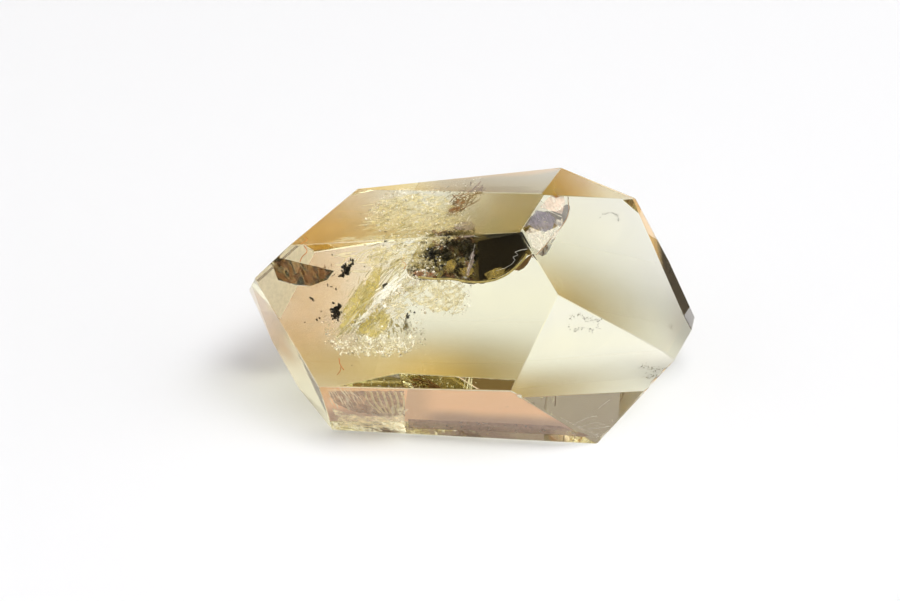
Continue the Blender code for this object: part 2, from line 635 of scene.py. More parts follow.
# frost: tiny flat bubbles in drifts, which turn the light every way
frostSettings = {
    "lowerSnow": {
        "seen": [
            (322, 322), (345, 314), (385, 320), (425, 318), (426, 345), (400, 357), (350, 355), (325, 345),
        ],
        "count": 150, "size": (0.1, 0.32), "depth": (4.0, 7.0),
    },
    "whiteStreak": {
        "seen": [
            (348, 326), (378, 296), (402, 278), (432, 262), (436, 270), (408, 292), (384, 308), (356, 330),
        ],
        "count": 120, "size": (0.1, 0.34), "depth": (3.0, 5.0),
    },
    "rightCloud": {
        "seen": [(400, 280), (440, 272), (470, 280), (474, 300), (462, 318), (420, 315), (398, 300)],
        "count": 110, "size": (0.08, 0.24), "depth": (4.0, 7.0),
    },
    "upperCloud": {
        "seen": [(372, 246), (455, 238), (440, 262), (405, 272), (380, 268)],
        "count": 90, "size": (0.08, 0.24), "depth": (2.0, 5.0),
    },
    "topSnow": {
        "seen": [
            (362, 226), (372, 205), (388, 190), (430, 184), (484, 178), (488, 188), (472, 212), (455, 234),
            (400, 238),
        ],
        "count": 170, "size": (0.1, 0.34), "depth": (1.0, 5.0),
    },
}


def anyDirection(dice):
    while True:
        way = Vector((dice.uniform(-1, 1), dice.uniform(-1, 1), dice.uniform(-1, 1)))
        if 0.1 < way.length < 1:
            return way.normalized()


def withinShape(dice, shape):
    xs = [x for x, _ in shape]
    ys = [y for _, y in shape]
    while True:
        x, y = dice.uniform(min(xs), max(xs)), dice.uniform(min(ys), max(ys))
        odd = False
        for (x1, y1), (x2, y2) in zip(shape, shape[1:] + shape[:1]):
            if (y1 > y) != (y2 > y) and x < (x2 - x1) * (y - y1) / (y2 - y1) + x1:
                odd = not odd
        if odd:
            return x, y


# draws each range of a stretch, and leaves its plain numbers as they are
def drawn(dice, stretch):
    return tuple(dice.uniform(*part) if isinstance(part, tuple) else part for part in stretch)


def placed(centre, size, along, roll, stretch):
    matrix = Matrix.Translation(centre) @ along.to_track_quat("Z", "Y").to_matrix().to_4x4()
    matrix = matrix @ Matrix.Rotation(roll, 4, "Z")
    return matrix @ Matrix.Diagonal((*(size * mm * part for part in stretch), 1))


# a template copied to every place, each copy with its own mesh, then joined
def joinCopies(name, template, places):
    copies = []
    for matrix in places:
        copy = addPiece(name, template.data.copy())
        copy.data.transform(matrix)
        copies.append(copy)
    bpy.data.objects.remove(template)
    return joined(name, copies)


def roughBall(jitter, seed):
    deselectAll()
    bpy.ops.mesh.primitive_ico_sphere_add(subdivisions=1, radius=1)
    editWhole((bpy.ops.transform.vertex_random, {"offset": jitter, "seed": seed}))
    return bpy.context.object


frostShape = {"smallest": 0.5, "stretch": (1, (0.35, 0.9), (0.10, 0.22))}


def frost():
    shape = frostShape
    dice = random.Random(seeds["frost"])
    places = []
    for s in frostSettings.values():
        for _ in range(s["count"]):
            centre = inside(withinShape(dice, s["seen"]), dice.uniform(*s["depth"]))
            size = dice.uniform(*s["size"]) * dice.uniform(shape["smallest"], 1)
            stretch = drawn(dice, shape["stretch"])
            places.append(placed(centre, size, anyDirection(dice), dice.uniform(0, 6), stretch))
    bubbles = joinCopies("frost", roughBall(0.2, 2), places)
    editWhole((bpy.ops.mesh.flip_normals, {}))
    return bubbles


def makeCrystal():
    s = crystalSettings
    cracks = [thinCrack(name, values) for name, values in crackSettings.items()]
    cracks.append(frost())
    stone = node.copy()
    stone.data = node.data.copy()
    bpy.context.scene.collection.objects.link(stone)
    makeActive(stone)
    editWhole(
        (bpy.ops.mesh.remove_doubles, {"threshold": s["merge"] * mm}),
        (bpy.ops.mesh.dissolve_limited, {"angle_limit": math.radians(s["flatAngle"])}),
    )
    joined("citrinePoint", [stone] + cracks)
    bpy.ops.object.shade_smooth_by_angle(angle=math.radians(s["smoothAngle"]))
    applyModifier(stone, "WEIGHTED_NORMAL", keep_sharp=True, weight=s["edgeWeight"])
    stone.data.materials.clear()
    stone.data.materials.append(clearQuartz())
    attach(stone, "root")
    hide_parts("citrine_crystal")
    return stone


crystal = makeCrystal()
print("stone made:", len(crystal.data.polygons), "faces")


# light that has passed through the stone falls on the floor tinted by its way through, not blocked
shadeSettings = {
    "shrink": 0.995,
    "middle": 12.0,
    "colour": (0.76, 0.73, 0.44),
    "density": 36.0,
}


def makeTintedShade(stone):
    s = shadeSettings
    stone.visible_shadow = False
    shade = addPiece("tintedShade", node.data.copy())
    lift = Matrix.Translation((0, 0, s["middle"] * mm * (1 - s["shrink"])))
    shade.data.transform(lift @ Matrix.Scale(s["shrink"], 4))
    hideFrom(shade, "camera", "diffuse", "glossy", "transmission", "volume_scatter")
    material, tree, _ = newMaterial("tintedShade", "ShaderNodeBsdfTransparent")
    addAbsorption(tree, s["colour"], s["density"])
    shade.data.materials.clear()
    shade.data.materials.append(material)


def finishPiece(piece, material):
    piece.data.materials.clear()
    piece.data.materials.append(material)
    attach(piece, "root")
    print(piece.name, "made:", len(piece.data.polygons), "faces")


# mineral and fibre colours, each a little mottled
mottleShape = {"scale": 2500, "detail": 3, "darkTo": 0.35, "paleFrom": 0.62}


# glow: light a piece gives off by itself though it is no lamp, a painted brightness
def mottled(name, colour, shade, roughness, metallic=0.0, alpha=1.0, glow=0.0):
    shape = mottleShape
    inputs = {"Roughness": roughness, "Metallic": metallic, "Alpha": alpha}
    material, tree, shader = newMaterial(name, "ShaderNodeBsdfPrincipled", inputs)
    darker = tuple(part * shade for part in colour)
    noise = noiseNode(tree, shape["scale"], shape["detail"])
    tint = rampNode(tree, noise, [(shape["darkTo"], darker), (shape["paleFrom"], colour)])
    setInput(tree, shader.inputs["Base Color"], tint)
    if glow:
        setInput(tree, shader.inputs["Emission Color"], tint)
        setInput(tree, shader.inputs["Emission Strength"], glow)
    return material


# sheets just under the flats: a cream stain at the back left; painted shade at the back left and over the
# top; painted shade and painted reflection over the crown; on the strip at the right a gold tint above
# painted shade
stainAndShadeSettings = {
    "creamStain": {"turn": -131.5, "tilt": -6.5, "colour": (0.98, 0.9, 0.78), "cover": (0.62, 0.8)},
    # painted shade: an ochre tint at the back left, strongest at the left and fading out towards the bottom
    "ochreShade": {
        "turn": -158.5, "tilt": -33.5, "colour": (0.8, 0.44, 0.08), "cover": (0.3, 0.46),
        "fade": (-4.0, -19.0), "rise": (2.6, 7.0),
    },
    # painted shade over the top, darker towards the right
    "oliveShadeTop": {
        "turn": -117.5, "tilt": 82.5, "colour": (0.36, 0.27, 0.07), "cover": (0.5, 0.62), "fade": (-4.0, 5.0),
    },
    # painted shade and painted reflection of warm colour over the crown, stronger towards the left
    "crownShadeAndReflection": {
        "turn": 133.0, "tilt": 63.5, "colour": (0.46, 0.32, 0.03), "cover": (0.6, 0.72), "fade": (17.0, 6.0),
    },
    "goldEdge": {
        "turn": 91.5, "tilt": 29.5, "colour": (1.0, 0.7, 0.28), "cover": (0.6, 0.8), "rise": (12.0, 14.5),
    },
    # painted shade: dark on the strip at the right, strongest low down and fading out upwards
    "paintedShadeEdge": {
        "turn": 91.5, "tilt": 29.5, "colour": (0.09, 0.065, 0.035), "cover": (0.7, 0.86),
        "rise": (14.5, 12.0), "depth": 0.17,
    },
}
stainAndShadeShape = {"depth": 0.12, "thickness": 0.03, "shrink": 1.008, "alike": 0.9995, "cloudScale": 160}


def stainAndShadeCover(name, s):
    material = mottled(name, s["colour"], 0.88, 0.6)
    tree = material.node_tree
    low, high = s["cover"]
    cover = mathNode(tree, "MULTIPLY_ADD", noiseNode(tree, stainAndShadeShape["cloudScale"]), high - low, low)
    parts = splitPlace(tree, objectPlace(tree))
    for key, part in (("fade", parts["X"]), ("rise", parts["Z"])):
        if key in s:
            low, high = s[key]
            cover = mathNode(tree, "MULTIPLY", cover, softStep(tree, part, low * mm, high * mm))
    setInput(tree, tree.nodes["Principled BSDF"].inputs["Alpha"], cover)
    return material


def stainsAndShade():
    shape = stainAndShadeShape
    for name, s in stainAndShadeSettings.items():
        facing = heading(180 - s["turn"], s["tilt"])
        sheet = addPiece(name, node.data.copy())
        makeActive(sheet)
        editWhole(
            (bpy.ops.mesh.remove_doubles, {"threshold": crystalSettings["merge"] * mm}),
            (bpy.ops.mesh.select_mode, {"type": "FACE"}),
            (bpy.ops.mesh.select_all, {"action": "DESELECT"}),
        )
        for face in sheet.data.polygons:
            face.select = face.normal.dot(facing) < shape["alike"]
        bpy.ops.object.mode_set(mode="EDIT")
        bpy.ops.mesh.delete(type="FACE")
        bpy.ops.object.mode_set(mode="OBJECT")
        editWhole((bpy.ops.mesh.dissolve_limited, {"angle_limit": math.radians(1)}))
        middle = sum((v.co for v in sheet.data.vertices), Vector()) / len(sheet.data.vertices)
        inward = -facing * s.get("depth", shape["depth"]) * mm
        editWhole(
            (bpy.ops.transform.resize, {"value": (shape["shrink"],) * 3, "center_override": middle}),
            (bpy.ops.transform.translate, {"value": inward}),
        )
        applyModifier(sheet, "SOLIDIFY", thickness=shape["thickness"] * mm)
        finishPiece(sheet, stainAndShadeCover(name, s))


# black mineral: rough clusters, each with its place, spread, count and depth, and a scatter of specks
grainSettings = {
    "colour": (0.012, 0.01, 0.006),
    "clusters": [
        ((347, 270), 4.2, 60, 2.2), ((343, 275), 2.0, 16, 2.2), ((336, 313), 5.0, 95, 2.2),
        ((339, 307), 2.4, 18, 2.2), ((352, 262), 1.8, 7, 2.4), ((385, 287), 3.0, 12, 2.4),
        ((408, 316), 1.4, 5, 2.2), ((432, 256), 9.0, 46, 2.0), ((446, 240), 5.0, 14, 2.0),
    ],
    "grain": (0.06, 0.19),
    "specks": [
        (333, 255), (349, 260), (340, 276), (328, 285), (332, 287), (336, 289), (311, 298), (313, 300),
        (331, 343), (353, 353), (353, 365), (508, 207), (411, 312), (414, 313), (322, 312), (325, 315),
        (374, 302), (381, 298), (389, 291), (392, 285), (356, 291), (440, 252), (436, 246), (447, 258),
        (452, 262), (430, 249), (425, 256), (418, 262), (433, 262), (424, 270), (347, 281), (305, 322),
        (318, 319), (366, 268), (371, 258), (385, 240), (361, 214), (446, 310),
    ],
    "speckSize": (0.05, 0.12), "depth": 4.5, "stretch": ((0.5, 1.3), (0.5, 1.3), (0.5, 1.6)),
    "speckStretch": ((0.5, 1.2), (0.5, 1.2), (0.6, 1.8)),
}


def mineralGrains():
    s = grainSettings
    dice = random.Random(seeds["grains"])
    places = []
    for seen, spread, count, depth in s["clusters"]:
        for _ in range(count):
            spot = (seen[0] + dice.gauss(0, spread * 0.5), seen[1] + dice.gauss(0, spread * 0.6))
            centre = inside(spot, depth + dice.gauss(0, 0.2))
            stretch = drawn(dice, s["stretch"])
            places.append(placed(centre, dice.uniform(*s["grain"]), anyDirection(dice), 0, stretch))
    for seen in s["specks"]:
        for _ in range(dice.randint(1, 3)):
            spot = (seen[0] + dice.gauss(0, 0.8), seen[1] + dice.gauss(0, 0.8))
            centre = inside(spot, s["depth"] * dice.uniform(0.5, 1.2))
            stretch = drawn(dice, s["speckStretch"])
            places.append(placed(centre, dice.uniform(*s["speckSize"]), anyDirection(dice), 0, stretch))
    grains = joinCopies("blackMineral", roughBall(0.3, 5), places)
    finishPiece(grains, mottled("blackMineral", s["colour"], 0.4, 0.45))


# cream flakes, whose glow is a painted glint, and bright mirrors among the frost: each drift's count and
# sizes
flakeSettings = {
    "creamFlakes": {
        "colour": (1.0, 0.96, 0.84), "metallic": 0.0, "glow": 0.22, "roughness": 0.35, "seed": 29,
        "drifts": [
            ("lowerSnow", 150, 0.08, 0.2), ("whiteStreak", 120, 0.1, 0.28), ("rightCloud", 120, 0.06, 0.18),
            ("upperCloud", 60, 0.06, 0.16), ("topSnow", 200, 0.08, 0.24),
        ],
    },
    "glintFlakes": {
        "colour": (1.0, 0.98, 0.9), "metallic": 1.0, "glow": 0.0, "roughness": 0.28, "seed": 31,
        "drifts": [
            ("lowerSnow", 220, 0.07, 0.18), ("whiteStreak", 150, 0.07, 0.22), ("rightCloud", 140, 0.05, 0.15),
            ("upperCloud", 80, 0.06, 0.18), ("topSnow", 160, 0.08, 0.24),
        ],
    },
}


flakeShape = {"shallower": 0.6, "stretch": (1, (0.3, 0.8), 0.2)}


def flakes():
    for name, s in flakeSettings.items():
        dice = random.Random(s["seed"])
        places = []
        for like, count, small, large in s["drifts"]:
            drift = frostSettings[like]
            for _ in range(count):
                spot = withinShape(dice, drift["seen"])
                depth = dice.uniform(*drift["depth"]) * flakeShape["shallower"]
                centre = inside(spot, depth)
                stretch = drawn(dice, flakeShape["stretch"])
                size = dice.uniform(small, large)
                places.append(placed(centre, size, anyDirection(dice), dice.uniform(0, 6), stretch))
        piece = joinCopies(name, roughBall(0.25, 3), places)
        material = mottled(name, s["colour"], 0.85, s["roughness"], metallic=s["metallic"], glow=s["glow"])
        finishPiece(piece, material)


# thin films in the stone, most of them colour the stone has, one a painted reflection and one painted light:
# each has its outline as seen, its depth, and whether its edge is torn
# cover is how solid a film is, from its thinnest places to its thickest
filmSettings = {
    "peachFilm": {
        "colour": (1.0, 0.8, 0.66), "cover": (0.2, 0.52), "glow": 0.08,
        "films": [
            ([(540, 207), (548, 198), (556, 192), (562, 194), (565, 203), (562, 214), (549, 210)],
             0.9, False),
        ],
    },
    "orangeFilm": {
        "colour": (1.0, 0.55, 0.22), "cover": (0.4, 0.8),
        "films": [([(550, 196), (554, 192), (559, 193), (557, 198)], 0.7, True)],
    },
    "blueFilm": {
        "colour": (0.37, 0.34, 0.38), "cover": (0.45, 0.75),
        "films": [
            ([(528, 224), (536, 210), (549, 213), (555, 218), (553, 228), (545, 232), (535, 229)],
             0.9, False),
        ],
    },
    "paleFilm": {
        "colour": (1.0, 0.92, 0.78), "cover": (0.1, 0.5), "glow": 0.08,
        "films": [
            ([(526, 232), (530, 227), (544, 233), (553, 229), (549, 241), (539, 251), (532, 247)],
             0.9, False),
            ([(556, 219), (563, 219), (562, 228), (554, 238), (548, 242), (555, 230)], 0.9, True),
        ],
    },
    "hazeFilm": {
        "colour": (0.9, 0.78, 0.4), "cover": (0.05, 0.4), "glow": 0.05,
        "films": [
            ([(368, 229), (375, 211), (388, 199), (412, 194), (444, 196), (456, 208), (468, 222), (450, 230)],
             2.6, True),
            ([(364, 262), (374, 247), (398, 244), (428, 243), (440, 252), (428, 264), (398, 268), (378, 272)],
             2.8, True),
            ([(404, 287), (425, 280), (452, 282), (466, 293), (460, 308), (438, 312), (414, 302)], 3.0, True),
        ],
    },
    "goldFilm": {
        "colour": (0.82, 0.68, 0.22), "cover": (0.26, 0.54), "glow": 0.08,
        "films": [
            ([(340, 330), (344, 309), (352, 296), (365, 284), (373, 269), (382, 266), (379, 286), (356, 322)],
             3.0, True),
            ([(356, 332), (366, 317), (380, 309), (391, 316), (386, 329), (372, 337)], 3.0, True),
        ],
    },
    "amberFilm": {
        "colour": (0.52, 0.38, 0.1), "cover": (0.1, 0.72),
        "films": [
            ([(446, 264), (452, 259), (457, 265), (452, 272), (445, 270)], 1.9, True),
            ([(460, 269), (469, 265), (474, 271), (468, 277), (459, 275)], 1.9, True),
            ([(484, 274), (496, 268), (508, 268), (500, 277), (488, 280)], 1.0, True),
        ],
    },
    "oliveFilm": {
        "colour": (0.2, 0.15, 0.04), "cover": (0.05, 0.8),
        "films": [([(404, 325), (406, 315), (411, 319), (412, 329), (407, 336), (403, 332)], 2.4, True)],
    },
    "brownFilm": {
        "colour": (0.36, 0.16, 0.07), "cover": (0.0, 0.74),
        "films": [
            ([(448, 213), (452, 204), (460, 197), (467, 197), (464, 206), (456, 213)], 1.6, True),
            ([(412, 273), (424, 271), (437, 274), (430, 277), (416, 276)], 1.6, True),
        ],
    },
    "rustFilm": {
        "colour": (0.28, 0.13, 0.05), "cover": (0.0, 0.5),
        "films": [
            ([(273, 263), (284, 260), (309, 266), (330, 272), (322, 279), (308, 285), (290, 284), (279, 278)],
             0.5, True),
        ],
    },
    "smokyFilm": {
        "colour": (0.46, 0.31, 0.21), "cover": (0.3, 0.62),
        "films": [([(328, 391), (404, 391), (405, 416), (388, 418), (352, 411), (334, 403)], 1.2, True)],
    },
    "umberFilm": {
        "colour": (0.54, 0.36, 0.26), "cover": (0.5, 0.62),
        "films": [
            ([(408, 419), (480, 422), (560, 426), (590, 436), (560, 435), (500, 432), (409, 428)],
             0.4, False),
        ],
    },
    # painted light: a glowing cream film low at the left of the front, for the bright room seen through there
    "creamLightFilm": {
        "colour": (1.0, 0.86, 0.56), "cover": (0.15, 0.66), "glow": 0.22,
        "films": [([(332, 408), (348, 414), (372, 417), (404, 415), (406, 429), (340, 426)], 0.4, True)],
    },
    "mauveFilm": {
        "colour": (0.5, 0.4, 0.36), "cover": (0.1, 0.6),
        "films": [
            ([(466, 275), (468, 264), (472, 252), (475, 251), (473, 264), (469, 276)], 1.5, True),
            ([(454, 228), (460, 222), (471, 221), (476, 226), (472, 230), (460, 230)], 1.6, True),
        ],
    },
    # painted reflection: a black film over the main crack, for the dark room the crack mirrors
    "darkReflectionFilm": {
        "colour": (0.016, 0.012, 0.005), "cover": (0.74, 0.88),
        "films": [([(478, 241), (519, 234), (527, 250), (514, 267), (492, 278), (479, 280)], 1.2, False)],
    },
    "tornFilm": {
        "colour": (0.022, 0.018, 0.007), "cover": (0.25, 0.96),
        "films": [
            ([(444, 243), (470, 238), (480, 245), (478, 262), (464, 257), (456, 266), (446, 265), (438, 254)],
             2.2, True),
            ([(452, 270), (461, 262), (466, 270), (460, 277)], 2.1, True),
            ([(422, 252), (432, 246), (440, 252), (432, 258)], 2.1, True),
        ],
    },
}
filmShape = {"halfThickness": 0.006, "tear": 0.10, "step": 2.2, "gloss": 0.1, "cloudScale": 1200}


# more points along an outline, each a little off the straight way
def torn(outline, dice):
    points = []
    for first, last in zip(outline, outline[1:] + outline[:1]):
        way = last - first
        count = max(1, round(way.length / (filmShape["step"] * pixelMm * mm)))
        for number in range(count):
            off = dice.gauss(0, filmShape["tear"]) * min(way.length, 6 * pixelMm * mm)
            side = Vector((way.y, -way.x, 0)).normalized()
            points.append(first + way * (number / count) + side * off)
    return points


def filmCover(name, s):
    material = mottled(name, s["colour"], 0.7, 0.5, glow=s.get("glow", 0))
    tree = material.node_tree
    shader = tree.nodes["Principled BSDF"]
    setInput(tree, shader.inputs["Specular IOR Level"], filmShape["gloss"])
    low, high = s["cover"]
    clouds = noiseNode(tree, filmShape["cloudScale"], 4)
    cover = rampNode(tree, clouds, [(0.40, (low, low, low)), (0.62, (high, high, high))])
    setInput(tree, shader.inputs["Alpha"], cover)
    return material


def films():
    dice = random.Random(seeds["films"])
    for name, s in filmSettings.items():
        sheets = []
        for number, (seen, depth, ragged) in enumerate(s["films"]):
            centre = [sum(part) / len(seen) for part in zip(*seen)]
            facing = sightLine(centre)[2]
            middle = inside(centre, depth)
            upright = facing.to_track_quat("Z", "Y")
            outline = [upright.inverted() @ (onPlane(spot, middle, facing) - middle) for spot in seen]
            if ragged:
                outline = torn(outline, dice)
            sheet = crackEdge(name + str(number), outline, False, filmShape["halfThickness"])
            standUp(sheet, upright, middle)
            sheets.append(sheet)
        finishPiece(joined(name, sheets), filmCover(name, s))


# wisps of the healed crack: thin see-through leaves laid along the way they are seen to run
# each group: its outline, count, way, looseness, lengths and widths, and its depths where they differ
wispSettings = {
    "goldWisps": {
        "colour": (0.84, 0.74, 0.28), "alpha": 0.28, "glow": 0.0,
        "groups": [
            ([(340, 331), (344, 308), (354, 293), (372, 279), (380, 290), (370, 310), (352, 331)],
             90, (0.66, -0.75), 0.12, (9, 28), (0.8, 2.8)),
            ([(352, 333), (367, 313), (384, 308), (392, 324), (381, 337), (362, 339)],
             70, (0.7, -0.72), 0.12, (7, 20), (1.0, 3.4)),
            ([(352, 292), (368, 272), (398, 262), (412, 262), (396, 281), (371, 296)],
             60, (0.66, -0.75), 0.12, (8, 22), (0.8, 2.4)),
        ],
    },
    "creamWisps": {
        "colour": (0.98, 0.9, 0.6), "alpha": 0.34, "glow": 0.13,
        "groups": [
            ([(336, 330), (352, 312), (385, 290), (412, 272), (420, 276), (396, 300), (372, 322), (345, 336)],
             90, (0.74, -0.67), 0.12, (8, 26), (0.6, 2.0)),
            ([(404, 284), (425, 275), (452, 279), (466, 290), (462, 312), (440, 313), (414, 302)],
             80, (0.9, -0.3), 0.5, (5, 16), (0.8, 3.0)),
            ([(384, 301), (397, 290), (408, 297), (410, 312), (398, 320), (386, 314)],
             54, (0.78, -0.5), 0.4, (5, 14), (0.8, 2.6)),
            ([(332, 252), (380, 246), (432, 244), (433, 262), (400, 269), (352, 271), (338, 263)],
             56, (0.9, -0.3), 0.3, (8, 24), (0.8, 3.0)),
            ([(364, 229), (373, 206), (390, 194), (430, 191), (452, 199), (468, 214), (470, 229), (430, 234)],
             170, (0.94, -0.34), 0.22, (6, 22), (0.7, 2.6)),
            ([(330, 336), (350, 334), (400, 330), (415, 340), (404, 354), (352, 354), (334, 348)],
             60, (1.0, 0.0), 1.2, (4, 11), (1.0, 3.0)),
        ],
    },
    "whiteWisps": {
        "colour": (1.0, 0.98, 0.88), "alpha": 0.56, "glow": 0.34,
        "groups": [
            ([(373, 300), (380, 292), (392, 282), (399, 279), (396, 286), (386, 296), (377, 303)],
             84, (0.74, -0.67), 0.12, (4, 12), (0.7, 2.4), (1.6, 2.4)),
            ([(352, 327), (360, 317), (372, 306), (378, 301), (374, 308), (362, 321)],
             20, (0.74, -0.67), 0.12, (5, 16), (0.4, 1.1), (1.6, 2.4)),
            ([(398, 190), (410, 189), (414, 196), (404, 202), (397, 198)],
             34, (0.8, -0.4), 1.0, (2, 6), (0.8, 2.4)),
            ([(420, 203), (434, 200), (443, 206), (436, 214), (424, 211)],
             44, (0.8, -0.4), 1.0, (2, 7), (0.8, 2.2)),
            ([(455, 219), (470, 216), (476, 224), (472, 231), (458, 231)],
             8, (0.8, -0.4), 0.6, (3, 9), (0.6, 1.6)),
            ([(466, 170), (478, 168), (484, 174), (478, 182), (466, 180)],
             26, (0.8, -0.4), 1.0, (2, 6), (0.7, 2.0)),
            ([(404, 292), (430, 282), (450, 288), (448, 302), (424, 304)],
             30, (0.8, -0.5), 0.8, (2, 6), (0.6, 1.6)),
        ],
    },
    "frontWisps": {
        "colour": (1.0, 0.91, 0.66), "alpha": 0.34, "glow": 0.2,
        "groups": [
            ([(391, 408), (402, 404), (408, 412), (400, 418), (391, 415)],
             40, (0.5, 0.7), 0.6, (3, 8), (0.8, 2.4), (0.5, 1.0)),
            ([(326, 391), (345, 390), (358, 391), (362, 402), (348, 409), (334, 405)],
             70, (0.52, 0.85), 0.1, (4, 12), (0.4, 1.2), (0.5, 1.0)),
        ],
    },
    "brownWisps": {
        "colour": (0.33, 0.16, 0.06), "alpha": 0.55, "glow": 0.0,
        "groups": [
            ([(446, 214), (455, 196), (474, 186), (485, 184), (482, 194), (466, 209), (452, 216)],
             90, (0.72, -0.68), 0.4, (3, 11), (0.8, 2.6)),
            ([(411, 271), (436, 269), (440, 276), (414, 277)], 18, (1.0, 0.05), 0.3, (4, 10), (0.5, 1.3)),
            ([(313, 263), (332, 267), (336, 276), (318, 285), (312, 279)],
             30, (1.0, 0.1), 0.9, (2, 7), (0.4, 1.2)),
            ([(436, 239), (476, 235), (478, 262), (470, 277), (441, 277), (434, 262)],
             34, (0.5, -0.8), 0.8, (4, 14), (2.0, 6.0)),
        ],
    },
    "oliveWisps": {
        "colour": (0.5, 0.42, 0.13), "alpha": 0.5, "glow": 0.0,
        "groups": [
            ([(432, 244), (476, 238), (478, 262), (470, 279), (430, 277)],
             44, (0.5, -0.8), 1.0, (4, 14), (2.0, 5.0)),
            ([(370, 226), (384, 203), (420, 196), (452, 203), (464, 222), (430, 232)],
             44, (0.93, -0.36), 0.3, (5, 18), (0.6, 1.8)),
            ([(368, 262), (378, 248), (400, 245), (434, 244), (432, 262), (400, 268)],
             34, (0.9, -0.3), 0.3, (5, 16), (0.6, 1.8)),
            ([(388, 322), (398, 316), (403, 324), (400, 336), (391, 334)],
             20, (0.4, 0.9), 0.4, (4, 10), (0.8, 2.2)),
            ([(360, 280), (372, 268), (384, 264), (378, 276), (366, 288)],
             14, (0.5, -0.8), 0.4, (4, 10), (0.4, 1.0)),
            ([(446, 196), (474, 178), (488, 178), (486, 190), (462, 208)],
             26, (0.72, -0.68), 0.4, (4, 14), (0.5, 1.5)),
        ],
    },
}
wispShape = {"depth": (2.5, 4.5), "slant": (-0.6, 0.6), "thickness": 0.02, "spread": 1.6, "loose": 0.5}
towardLens = Vector((0, -0.7, 0.7))


# a leaf from one point to another, its flat side towards facing
def laid(first, last, width, thickness, facing):
    along = (last - first).normalized()
    across = along.cross(facing).normalized()
    matrix = Matrix((across, across.cross(along), along)).transposed().to_4x4()
    size = Matrix.Diagonal((width * mm, thickness * mm, (last - first).length / 2, 1))
    return Matrix.Translation((first + last) / 2) @ matrix @ size


def wisps():
    shape = wispShape
    dice = random.Random(seeds["wisps"])
    for name, s in wispSettings.items():
        places = []
        for seen, count, run, loose, length, width, *depths in s["groups"]:
            for _ in range(count):
                x, y = (part + dice.gauss(0, shape["spread"]) for part in withinShape(dice, seen))
                way = Vector(run) + Vector((dice.gauss(0, loose), dice.gauss(0, loose)))
                way = way.normalized() * dice.uniform(*length) / 2
                depth = dice.uniform(*(depths[0] if depths else shape["depth"]))
                if not all(sightLine((x + side * way.x, y + side * way.y))[0] for side in (-1, 1)):
                    continue
                first = inside((x - way.x, y - way.y), depth)
                last = inside((x + way.x, y + way.y), depth + dice.uniform(*shape["slant"]))
                facing = towardLens + anyDirection(dice) * shape["loose"]
                half = dice.uniform(*width) * 0.5 * pixelMm
                places.append(laid(first, last, half, shape["thickness"], facing))
        piece = joinCopies(name, roughBall(0.18, 7), places)
        bpy.ops.object.shade_smooth()
        finishPiece(piece, mottled(name, s["colour"], 0.8, 0.5, alpha=s["alpha"], glow=s["glow"]))


# stars of white needles along the lower edge of the veil; their glow is a painted glint
starSettings = {
    "colour": (1.0, 0.98, 0.87), "glow": 0.4, "depth": (2.5, 4.0),
    "seen": [(328, 338), (350, 337), (396, 333), (417, 338), (412, 352), (372, 357), (340, 354)],
    "count": 90, "needles": (4, 9), "reach": (1.0, 4.6), "waist": 0.022,
    "more": [(395, 318), (404, 322), (388, 336), (372, 268), (462, 300), (470, 305), (436, 309), (455, 309)],
}


def whiteStars():
    s = starSettings
    dice = random.Random(seeds["stars"])
    spots = [withinShape(dice, s["seen"]) for _ in range(s["count"])] + s["more"]
    places = []
    for x, y in spots:
        depth = dice.uniform(*s["depth"])
        reach = dice.uniform(*s["reach"])
        for _ in range(dice.randint(*s["needles"])):
            angle = dice.uniform(0, math.tau)
            far = reach * dice.uniform(0.4, 1.0)
            first = inside((x, y), depth)
            tip = (x + far * math.cos(angle), y + far * math.sin(angle))
            last = inside(tip, depth - dice.uniform(0, 0.5))
            places.append(laid(first, last, s["waist"], s["waist"], towardLens))
    piece = joinCopies("whiteStars", roughBall(0.1, 9), places)
    finishPiece(piece, mottled("whiteStars", s["colour"], 0.9, 0.3, glow=s["glow"]))


# thicker dark bits where the fracture is broken
bitSettings = {
    "colour": (0.055, 0.045, 0.015),
    "seen": [(436, 238), (476, 235), (479, 256), (470, 276), (441, 276), (433, 260)],
    "count": 80, "size": (0.1, 0.34), "depth": (1.6, 2.4), "stretch": (1, (0.25, 0.8), (0.1, 0.25)),
    "loose": 0.9,
}


def fractureBits():
    s = bitSettings
    dice = random.Random(seeds["bits"])
    places = []
    for _ in range(s["count"]):
        centre = inside(withinShape(dice, s["seen"]), dice.uniform(*s["depth"]))
        stretch = drawn(dice, s["stretch"])
        facing = towardLens + anyDirection(dice) * s["loose"]
        places.append(placed(centre, dice.uniform(*s["size"]), facing, dice.uniform(0, 6), stretch))
    piece = joinCopies("fractureBits", roughBall(0.35, 8), places)
    finishPiece(piece, mottled("fractureBits", s["colour"], 0.2, 0.35))


